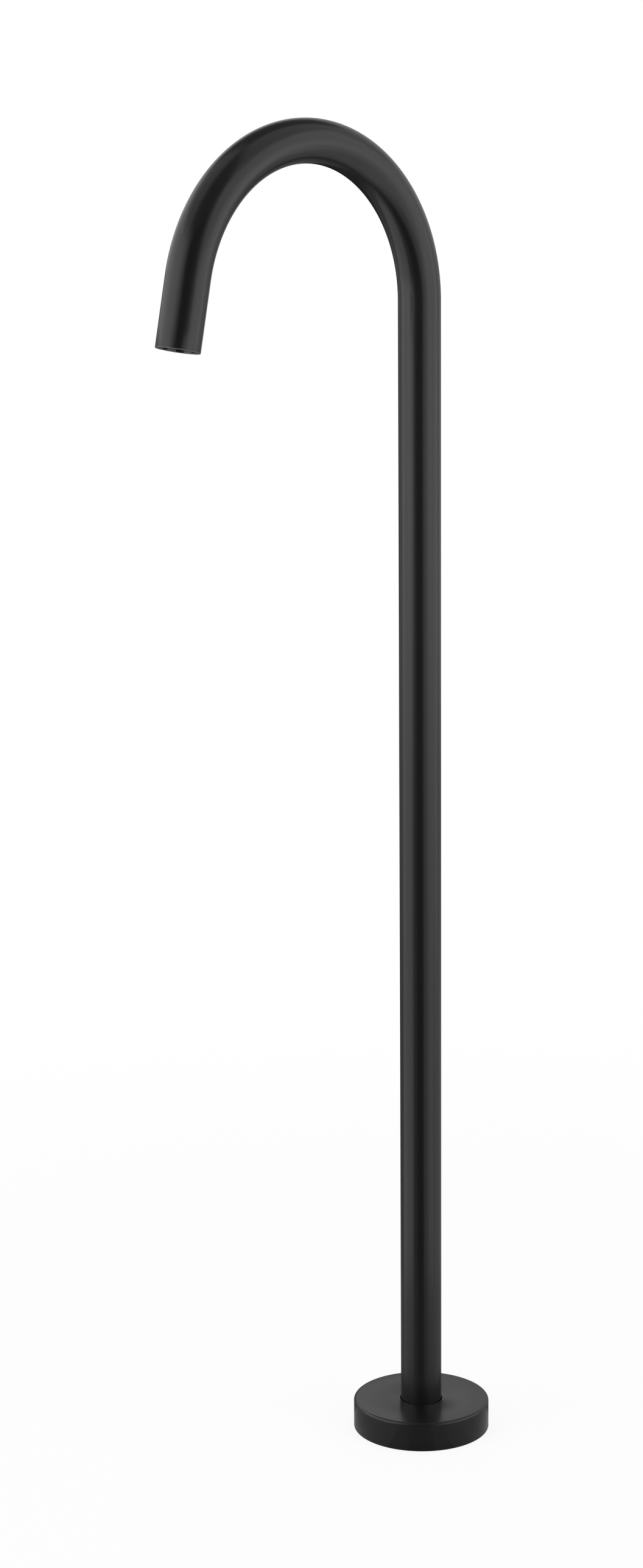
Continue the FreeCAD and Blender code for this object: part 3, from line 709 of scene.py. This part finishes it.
@dataclass
class Spout:
    """Riser, gooseneck and outlet leg, with the foot that turns on the spigot.

    Millimetres, and degrees for the first screw's place.
    """

    paint: Paintbox
    inner: float = 14.5
    sides: int = 144
    bend_steps: int = 120
    foot_length: float = 10.0
    foot_edge: float = 0.25
    screw_height: float = 16.9
    screw_hole: float = 4.0
    screw_reach: float = 6.0
    screw_count: int = 3
    screw_start: float = 90.0
    screw_sides: int = 40

    def wall(self, mesh: bmesh.types.BMesh, radius: float) -> tuple[Ring, Ring]:
        """Sweep one wall of the tube along its line, from the foot to the nozzle's shoulder.

        Args:
            mesh: the tube's mesh, in millimetres.
            radius: the wall's radius.

        Returns:
            The edges of the foot's ring and of the outlet's ring.
        """
        circle = bmesh.ops.create_circle(mesh, cap_ends=False, segments=self.sides, radius=radius,
                                         matrix=Matrix.Translation((0, 0, LINE.foot)))
        foot = list({edge for corner in circle["verts"] for edge in corner.link_edges})
        rise = LINE.bend_start - LINE.foot - self.foot_length
        ring = drawn_out(mesh, foot, Vector((0, 0, self.foot_length)))
        ring = drawn_out(mesh, ring, Vector((0, 0, rise)))
        corners = list({corner for edge in ring for corner in edge.verts})
        bent = bmesh.ops.spin(
            mesh, geom=corners + ring, cent=(0, -LINE.bend_radius, LINE.bend_start),
            axis=(1, 0, 0), dvec=(0, 0, 0), angle=math.radians(LINE.bend_angle),
            steps=self.bend_steps, use_merge=False, use_normal_flip=False,
            use_duplicate=False)["geom_last"]
        reach = LINE.outlet_leg - LINE.nozzle_total + LINE.nozzle_spigot
        outward = LINE.outlet_matrix().to_3x3() @ Vector((0, 0, reach))
        return foot, drawn_out(mesh, parts(bent, bmesh.types.BMEdge), outward)

    def tube(self) -> bpy.types.Object:
        """Build the bent tube with its tapped holes.

        Returns:
            The piece.
        """
        mesh = bmesh.new()
        outer_foot, outer_end = self.wall(mesh, LINE.outer)
        inner_foot, inner_end = self.wall(mesh, self.inner)
        bmesh.ops.bridge_loops(mesh, edges=outer_foot + inner_foot)
        bmesh.ops.bridge_loops(mesh, edges=outer_end + inner_end)
        bmesh.ops.recalc_face_normals(mesh, faces=mesh.faces[:])
        round_ring(mesh, LINE.outer, LINE.foot, self.foot_edge)
        piece = finished_piece(mesh, "bent_tube", Matrix.Identity(4))
        drilled(piece, self.screw_tool())
        return piece

    def screw_tool(self) -> bmesh.types.BMesh:
        """Make the cutter for the grub screws' holes.

        Returns:
            The cutter, in metres.
        """
        tool = bmesh.new()
        for index in range(self.screw_count):
            turn = math.radians(self.screw_start + 360 * index / self.screw_count)
            place = (Matrix.Translation((0, 0, self.screw_height))
                     @ Matrix.Rotation(turn, 4, "Z")
                     @ Matrix.Translation((LINE.outer, 0, 0))
                     @ Matrix.Rotation(math.pi / 2, 4, "Y"))
            bmesh.ops.create_cone(tool, cap_ends=True, cap_tris=False, segments=self.screw_sides,
                                  radius1=self.screw_hole / 2, radius2=self.screw_hole / 2,
                                  depth=self.screw_reach, matrix=place)
        bmesh.ops.transform(tool, matrix=Matrix.Scale(MM, 4), verts=tool.verts[:])
        return tool

    def build(self) -> None:
        """Build and dress the spout's pieces."""
        self.paint.piece(self.tube(), Look.COAT, Body.SPOUT, Slot.SATIN_BLACK, "spout_tube")
        self.paint.node("foot_bush", Look.BRASS)
        self.paint.node("grub_screws", Look.STEEL)


@dataclass
class Outlet:
    """Turned end of the spout and the aerator in it.

    Millimetres, with heights from the nozzle's inner end outwards, and degrees for the notches.
    """

    paint: Paintbox
    nozzle_sides: int = 144
    bore: float = 11.5
    spigot: float = 14.45
    thread: float = 14.0
    seat: float = 9.5
    rim_edge: float = 0.45
    lead_in: float = 0.3
    shell_sides: int = 180
    shell_bore: float = 12.0
    shell_start: float = 11.0
    neck: float = 13.2
    shell_end: float = 21.7
    lip_seat: float = 19.2
    lip_opening: float = 11.3
    notch_depth: float = 1.8
    notch_turn: float = 51.0
    notch_span: float = 30.0
    notch_count: int = 6
    lug_edge: float = 0.15
    thread_start: float = 15.0
    thread_crest: float = 13.85
    thread_depth: float = 0.45
    thread_pitch: float = 1.0
    thread_steps: int = 72
    root_share: float = 0.42
    crest_half: float = 0.06
    ridge_sink: float = 0.1
    ridge_gap: float = 0.02

    def nozzle(self) -> bpy.types.Object:
        """Turn the nozzle.

        Returns:
            The piece.
        """
        total, shoulder = LINE.nozzle_total, LINE.nozzle_spigot
        mesh = turned([(self.bore, 0), (self.spigot, 0), (self.spigot, shoulder),
                       (LINE.outer, shoulder), (LINE.outer, total), (self.thread, total),
                       (self.thread, self.seat), (self.bore, self.seat)], self.nozzle_sides)
        round_ring(mesh, LINE.outer, total, self.rim_edge, segments=4)
        round_ring(mesh, self.thread, total, self.lead_in, segments=2)
        return finished_piece(mesh, "outlet_end", LINE.outlet_matrix())

    def shell(self) -> bpy.types.Object:
        """Turn the aerator's shell, raise its lugs and wind its thread.

        Returns:
            The piece.
        """
        floor = self.shell_end - self.notch_depth
        root = self.thread_crest - self.thread_depth
        mesh = turned([(self.shell_bore, self.shell_start), (self.neck, self.shell_start),
                       (self.neck, self.thread_start), (root, self.thread_start),
                       (root, floor), (self.lip_opening, floor),
                       (self.lip_opening, self.lip_seat), (self.shell_bore, self.lip_seat)],
                      self.shell_sides)
        self.raise_lugs(mesh, floor)
        self.wind_thread(mesh, root, floor)
        return finished_piece(mesh, "castellated_ring", LINE.outlet_matrix())

    def raise_lugs(self, mesh: bmesh.types.BMesh, floor: float) -> None:
        """Raise the lugs between the notches out of the lip.

        Args:
            mesh: the shell, in millimetres.
            floor: the notches' floor.
        """
        pitch = 360 / self.notch_count

        def in_lug(face: bmesh.types.BMFace) -> bool:
            """Tell the faces that become lugs.

            Args:
                face: a face of the shell.

            Returns:
                Whether it lies at the notches' floor and between two notches.
            """
            centre = face.calc_center_median()
            turn = math.degrees(math.atan2(centre.y, centre.x)) - self.notch_turn
            off = abs((turn + pitch / 2) % pitch - pitch / 2)
            return abs(centre.z - floor) <= SAME_PLACE and off > self.notch_span / 2

        lugs = [face for face in mesh.faces if in_lug(face)]
        raised = bmesh.ops.extrude_face_region(mesh, geom=lugs)["geom"]
        tops = parts(raised, bmesh.types.BMFace)
        bmesh.ops.translate(mesh, vec=(0, 0, self.notch_depth),
                            verts=parts(raised, bmesh.types.BMVert))
        bmesh.ops.delete(mesh, geom=lugs, context="FACES_ONLY")
        border = {edge for face in tops for edge in face.edges
                  if sum(other in tops for other in edge.link_faces) == 1}
        bmesh.ops.bevel(mesh, geom=list(border), offset=self.lug_edge, offset_type="OFFSET",
                        segments=2, profile=0.5, affect="EDGES", clamp_overlap=True,
                        material=-1)

    def wind_thread(self, mesh: bmesh.types.BMesh, root: float, floor: float) -> None:
        """Wind the thread's ridge round the shell, sunk a little into its wall.

        Args:
            mesh: the shell, in millimetres.
            root: the thread's root radius.
            floor: the notches' floor, where the thread ends.
        """
        half = self.thread_pitch * self.root_share
        start = self.thread_start + half + self.ridge_gap
        length = floor - half - self.ridge_gap - start
        steps = int(length / self.thread_pitch * self.thread_steps)
        ridge = [(root - self.ridge_sink, -half), (self.thread_crest, -self.crest_half),
                 (self.thread_crest, self.crest_half), (root - self.ridge_sink, half)]
        corners = [mesh.verts.new((radius, 0, start + height)) for radius, height in ridge]
        section = mesh.faces.new(corners)
        bmesh.ops.spin(mesh, geom=[section] + list(section.verts) + list(section.edges),
                       cent=(0, 0, 0), axis=(0, 0, 1),
                       dvec=(0, 0, self.thread_pitch / self.thread_steps),
                       angle=math.tau * steps / self.thread_steps, steps=steps,
                       use_merge=False, use_normal_flip=False, use_duplicate=False)
        bmesh.ops.recalc_face_normals(mesh, faces=mesh.faces[:])

    def build(self) -> None:
        """Build and dress the outlet's pieces."""
        self.paint.piece(self.nozzle(), Look.MOUTH, Body.SPOUT, Slot.SATIN_BLACK,
                         "outlet_nozzle")
        self.paint.piece(self.shell(), Look.PLASTIC, Body.AERATOR, Slot.AERATOR_BLACK,
                         "aerator_shell")
        self.paint.node("aerator_washer", Look.RUBBER)
        self.paint.node("jet_plate", Look.ACETAL)
        self.paint.node("aerator_screen", Look.MESH)
        self.paint.node("flow_straightener", Look.PLASTIC)


@dataclass
class FloorCover:
    """Loose round cover with the hub that carries its O-ring. Millimetres."""

    paint: Paintbox
    sides: int = 240
    outer: float = 53.5
    wall: float = 2.0
    height: float = 23.0
    top: float = 2.5
    edge: float = 2.0
    hole: float = 16.6
    hole_edge: float = 0.3
    foot_edge: float = 0.3
    inner_fillet: float = 0.8
    hub: float = 20.0
    hub_depth: float = 3.0
    hub_edge: float = 0.3
    groove_wall: float = 18.05
    groove_low: float = 18.6
    groove_high: float = 21.8

    def shell(self) -> bpy.types.Object:
        """Turn the cover.

        Returns:
            The piece.
        """
        ceiling = self.height - self.top
        hub_foot = ceiling - self.hub_depth
        inner = self.outer - self.wall
        mesh = turned([(self.hole, hub_foot), (self.hub, hub_foot), (self.hub, ceiling),
                       (inner, ceiling), (inner, 0), (self.outer, 0),
                       (self.outer, self.height), (self.hole, self.height),
                       (self.hole, self.groove_high), (self.groove_wall, self.groove_high),
                       (self.groove_wall, self.groove_low), (self.hole, self.groove_low)],
                      self.sides)
        round_ring(mesh, self.outer, self.height, self.edge, segments=10)
        round_ring(mesh, self.hole, self.height, self.hole_edge)
        round_ring(mesh, self.outer, 0, self.foot_edge)
        round_ring(mesh, inner, ceiling, self.inner_fillet)
        round_ring(mesh, self.hub, hub_foot, self.hub_edge, segments=2)
        return finished_piece(mesh, "round_cover", Matrix.Identity(4))

    def build(self) -> None:
        """Build and dress the cover's pieces."""
        self.paint.piece(self.shell(), Look.COAT, Body.COVER, Slot.SATIN_BLACK, "cover_flange")
        self.paint.node("cover_o_ring", Look.RUBBER)


@dataclass
class FloorMount:
    """The brass plate and spigot under the cover, with their seals and rings."""

    paint: Paintbox
    looks: dict[str, Look] = field(default_factory=lambda: {
        "floor_gasket": Look.RUBBER, "floor_plate": Look.BRASS, "inlet_spigot": Look.BRASS,
        "spigot_locknut": Look.BRASS, "locknut_washer": Look.STEEL,
        "inlet_washer": Look.RUBBER, "thrust_washer": Look.ACETAL,
        "lower_bearing_ring": Look.ACETAL, "upper_bearing_ring": Look.ACETAL,
        "lower_o_ring": Look.RUBBER, "upper_o_ring": Look.RUBBER})

    def build(self) -> None:
        """Dress the mount's nodes."""
        for name, look in self.looks.items():
            self.paint.node(name, look)


# ---- studio ----


WALL_TURNS = (-180, -145, -110, -70, -42, -30, -18, 18, 30, 42, 70, 110, 145, 180)
FOOT_TURNS = (-180, -145, -110, -75, -50, -30, -12, 12, 30, 50, 75, 110, 145, 180)
FLOOR_TURNS = (-180, -145, -110, -42, -18, 18, 42, 110, 145, 180)
INNER_TURNS = (-180, -145, -110, -42, -18, 18, 42, 75, 110, 145, 180)
CEILING_TURNS = (-45, 45, 135, 225, 315)
SCREEN_FLAT = 10.0  # degrees that one flat of a screen takes up
FEWEST_FLATS = 2  # flats of the narrowest screen
ROOM = 3.4  # metres from the riser to the wall screens, and from the floor to the ceiling's
LIFT = 0.0001  # metres from the floor to its screens


@dataclass(frozen=True)
class SoftBox:
    """A soft lamp: its azimuth from the camera in degrees, its place and size in metres."""

    name: str
    azimuth: float
    distance: float
    height: float
    width: float
    tall: float
    power: float
    aim_height: float = 0.6
    aim_ahead: float = -0.06


@dataclass(frozen=True)
class ScreenRow:
    """A row of plain screens round the filler that show only in reflections.

    Each screen is one edge swept from one azimuth to the next and has one tone. The azimuths are
    degrees from the camera, and each end of the edge is a distance and a height in metres.
    """

    name: str
    near: tuple[float, float]
    far: tuple[float, float]
    azimuths: tuple[float, ...]
    tones: tuple[float, ...]

    def screen(self, start: float, span: float) -> bpy.types.Object:
        """Sweep one screen.

        Args:
            start: the azimuth that it begins at, in degrees in the frame.
            span: the degrees that it takes up.

        Returns:
            The screen, seen by glossy rays alone.
        """
        mesh = bmesh.new()
        turn = math.radians(start)
        ends = [mesh.verts.new((math.sin(turn) * away, -math.cos(turn) * away, height))
                for away, height in (self.near, self.far)]
        edge = mesh.edges.new(ends)
        bmesh.ops.spin(mesh, geom=ends + [edge], cent=(0, 0, 0), axis=(0, 0, 1), dvec=(0, 0, 0),
                       angle=math.radians(span), steps=max(FEWEST_FLATS, round(span / SCREEN_FLAT)),
                       use_merge=False, use_normal_flip=False, use_duplicate=False)
        screen = finished_piece(mesh, self.name, Matrix.Scale(1 / MM, 4))
        for ray in ("camera", "diffuse", "transmission", "shadow", "volume_scatter"):
            setattr(screen, "visible_" + ray, False)
        return screen

    def stand(self, camera_azimuth: float) -> None:
        """Stand the whole row and give each screen its tone.

        Args:
            camera_azimuth: the camera's azimuth in degrees.
        """
        for left, right, tone in zip(self.azimuths, self.azimuths[1:], self.tones):
            material, nodes = new_material(self.name)
            glow = nodes.add("Emission", Color=(tone, tone, tone, 1), Strength=1.0)
            nodes.surface(glow.outputs[0])
            self.screen(camera_azimuth + left, right - left).data.materials.append(material)


@dataclass
class Studio:
    """Plain pale floor, soft lamps and the camera of the photograph.

    Angles are in degrees and lengths in metres. The lens and its sensor are in millimetres.
    """

    camera_azimuth: float = 43.696428
    camera_distance: float = 2.319916
    camera_height: float = 0.992879
    yaw: float = 1.863069
    pitch: float = -11.485601
    roll: float = -0.462941
    lens: float = 71.07
    sensor: float = 36.0
    ambient: float = 0.38
    floor_radius: float = 9.0
    floor_height: float = -0.00005
    floor_sides: int = 96
    floor_tone: float = 0.90
    floor_fleck: float = 0.01
    fleck_scale: float = 30.0
    shadow_keep: float = 0.88
    shadow_near: float = 0.35
    shadow_far: float = 1.3
    boxes: tuple[SoftBox, ...] = (
        SoftBox("left_softbox", -58.0, 2.5, 1.15, 2.4, 2.5, 38.0),
        SoftBox("right_softbox", 58.0, 2.5, 1.15, 2.4, 2.5, 36.0),
        SoftBox("top_softbox", 180.0, 0.6, 2.9, 1.8, 1.8, 30.0, 0.3),
    )
    rows: tuple[ScreenRow, ...] = (
        ScreenRow("low_wall", (ROOM, 0.0), (ROOM, 1.15), WALL_TURNS,
                  (0.05, 0.40, 1.44, 1.74, 1.01, 0.17, 0.06, 0.82, 1.04, 1.60, 1.38, 0.62, 0.35)),
        ScreenRow("middle_wall", (ROOM, 1.15), (ROOM, 2.0), WALL_TURNS,
                  (0.83, 1.13, 1.56, 1.50, 1.05, 0.57, 0.01, 0.00, 0.13, 0.81, 1.13, 0.77, 0.63)),
        ScreenRow("high_wall", (ROOM, 2.0), (ROOM, ROOM), WALL_TURNS,
                  (0.73, 1.07, 1.39, 1.42, 1.02, 0.57, 0.00, 0.02, 0.31, 1.04, 1.12, 0.57, 0.63)),
        # painted shade: these screens are mostly darker than the floor rows further out and stand
        # for the floor's shade round the foot, seen only in reflections
        ScreenRow("near_floor_shade", (0.0532, LIFT), (0.12, LIFT), FOOT_TURNS,
                  (0.05, 0.13, 0.30, 0.34, 0.32, 0.19, 0.11, 0.20, 0.29, 0.33, 0.34, 0.12, 0.05)),
        ScreenRow("middle_floor", (0.12, LIFT), (0.35, LIFT), FLOOR_TURNS,
                  (0.11, 0.24, 0.59, 0.22, 0.07, 0.33, 0.53, 0.33, 0.17)),
        ScreenRow("inner_floor", (0.35, LIFT), (1.6, LIFT), INNER_TURNS,
                  (0.07, 0.21, 0.98, 0.19, 0.00, 0.52, 0.95, 0.69, 0.44, 0.21)),
        ScreenRow("outer_floor", (1.6, LIFT), (ROOM, LIFT), FLOOR_TURNS,
                  (0.01, 0.29, 1.07, 0.14, 0.00, 0.63, 1.03, 0.39, 0.20)),
        ScreenRow("ceiling", (0.0, ROOM), (ROOM, ROOM), CEILING_TURNS, (0.10, 0.56, 0.09, 0.55)),
    )

    def around(self, azimuth: float, distance: float, height: float) -> Vector:
        """Return a point by its azimuth from the camera, its distance and its height."""
        turn = math.radians(self.camera_azimuth + azimuth)
        return Vector((math.sin(turn) * distance, -math.cos(turn) * distance, height))

    def set_camera(self) -> None:
        """Set the camera that was fitted to the photograph's outline."""
        data = bpy.data.cameras.new("photo_camera")
        data.sensor_fit = "VERTICAL"
        data.sensor_height = self.sensor
        data.lens = self.lens
        data.clip_start = 0.01
        data.clip_end = 100.0
        turn, pitch = math.radians(self.camera_azimuth + self.yaw), math.radians(self.pitch)
        ahead = Vector((-math.sin(turn) * math.cos(pitch), math.cos(turn) * math.cos(pitch),
                        math.sin(pitch)))
        side = ahead.cross(Vector((0, 0, 1))).normalized()
        lift = side.cross(ahead)
        roll = math.radians(self.roll)
        across = math.cos(roll) * side + math.sin(roll) * lift
        upward = -math.sin(roll) * side + math.cos(roll) * lift
        basis = Matrix((across, upward, -ahead)).transposed().to_4x4()
        place = self.around(0.0, self.camera_distance, self.camera_height)
        camera = bpy.data.objects.new("photo_camera", data)
        camera.matrix_world = Matrix.Translation(place) @ basis
        bpy.context.scene.collection.objects.link(camera)
        bpy.context.scene.camera = camera
        LOG.info("camera %s: %.2f mm", camera.name, self.lens)

    @staticmethod
    def seen_ray(nodes: Nodes) -> bpy.types.NodeSocket:
        """Tell the rays that see the white background from those that light the filler.

        Args:
            nodes: the tree's nodes.

        Returns:
            A socket that is 1 for camera, glossy and transmission rays and 0 for others.
        """
        path = nodes.add("LightPath")
        total = nodes.math("ADD", path.outputs["Is Camera Ray"], path.outputs["Is Glossy Ray"])
        total = nodes.math("ADD", total, path.outputs["Is Transmission Ray"])
        return nodes.math("MINIMUM", total, 1.0)

    def set_world(self) -> None:
        """Set the white surroundings, dimmer where they light the filler."""
        world = bpy.data.worlds.new("white_studio")
        world.use_nodes = True
        nodes = Nodes(world.node_tree)
        background = nodes.add("Background", Color=(1, 1, 1, 1))
        seen = nodes.math("MULTIPLY", self.seen_ray(nodes), 1.0 - self.ambient)
        nodes.link(nodes.math("ADD", seen, self.ambient), background.inputs["Strength"])
        nodes.surface(background.outputs[0], "OutputWorld")
        bpy.context.scene.world = world

    def floor_material(self) -> bpy.types.Material:
        """Make the floor matt round the filler's foot and plain white far off.

        Returns:
            The material.
        """
        material, nodes = new_material("pale_floor")
        coordinates = nodes.add("TexCoord").outputs["Object"]
        fleck = nodes.add("TexNoise", Scale=self.fleck_scale, Detail=3.0)
        nodes.link(coordinates, fleck.inputs["Vector"])
        flecks = nodes.math("MULTIPLY", fleck.outputs["Fac"], self.floor_fleck)
        matt = nodes.add("BsdfDiffuse")
        nodes.link(nodes.math("ADD", flecks, self.floor_tone), matt.inputs["Color"])
        glow = nodes.add("Emission", Strength=1.0)
        away = nodes.add("VectorMath", operation="LENGTH")
        nodes.link(coordinates, away.inputs[0])
        white = nodes.add("MapRange", interpolation_type="SMOOTHSTEP", From_Min=self.shadow_near,
                          From_Max=self.shadow_far, To_Min=self.shadow_keep, To_Max=1.0)
        nodes.link(away.outputs["Value"], white.inputs["Value"])
        mix = nodes.add("MixShader")
        nodes.link(nodes.math("MULTIPLY", self.seen_ray(nodes), white.outputs["Result"]),
                   mix.inputs["Fac"])
        nodes.link(matt.outputs[0], mix.inputs[1])
        nodes.link(glow.outputs[0], mix.inputs[2])
        nodes.surface(mix.outputs[0])
        return material

    def lay_floor(self) -> None:
        """Lay the pale floor, which keeps the filler's soft shadow."""
        mesh = bmesh.new()
        bmesh.ops.create_circle(mesh, cap_ends=True, segments=self.floor_sides,
                                radius=self.floor_radius / MM,
                                matrix=Matrix.Translation((0, 0, self.floor_height / MM)))
        floor = finished_piece(mesh, "studio_floor", Matrix.Identity(4))
        floor.data.materials.append(self.floor_material())

    def hang_lamps(self) -> None:
        """Hang the soft lamps."""
        for box in self.boxes:
            data = bpy.data.lights.new(box.name, "AREA")
            data.shape = "RECTANGLE"
            data.size = box.width
            data.size_y = box.tall
            data.energy = box.power
            lamp = bpy.data.objects.new(box.name, data)
            place = self.around(box.azimuth, box.distance, box.height)
            toward = Vector((0, box.aim_ahead, box.aim_height)) - place
            lamp.matrix_world = (Matrix.Translation(place)
                                 @ toward.to_track_quat("-Z", "Y").to_matrix().to_4x4())
            lamp.visible_camera = False
            lamp.visible_glossy = False
            bpy.context.scene.collection.objects.link(lamp)
            LOG.info("lamp %s: %.0f W", box.name, box.power)

    def stand_screens(self) -> None:
        """Stand the screens that reflections see round the filler."""
        for row in self.rows:
            row.stand(self.camera_azimuth)

    def build(self) -> None:
        """Set up the studio."""
        self.set_camera()
        self.set_world()
        self.lay_floor()
        self.hang_lamps()
        self.stand_screens()
        bpy.context.scene.view_settings.view_transform = "Standard"


def main() -> None:
    """Build the studio and the filler, and report each piece."""
    logging.basicConfig(level=logging.INFO, format="%(message)s")
    Studio().build()
    paint = Paintbox()
    for assembly in (FloorMount(paint), Spout(paint), Outlet(paint), FloorCover(paint)):
        assembly.build()


if __name__ == "__main__":
    main()
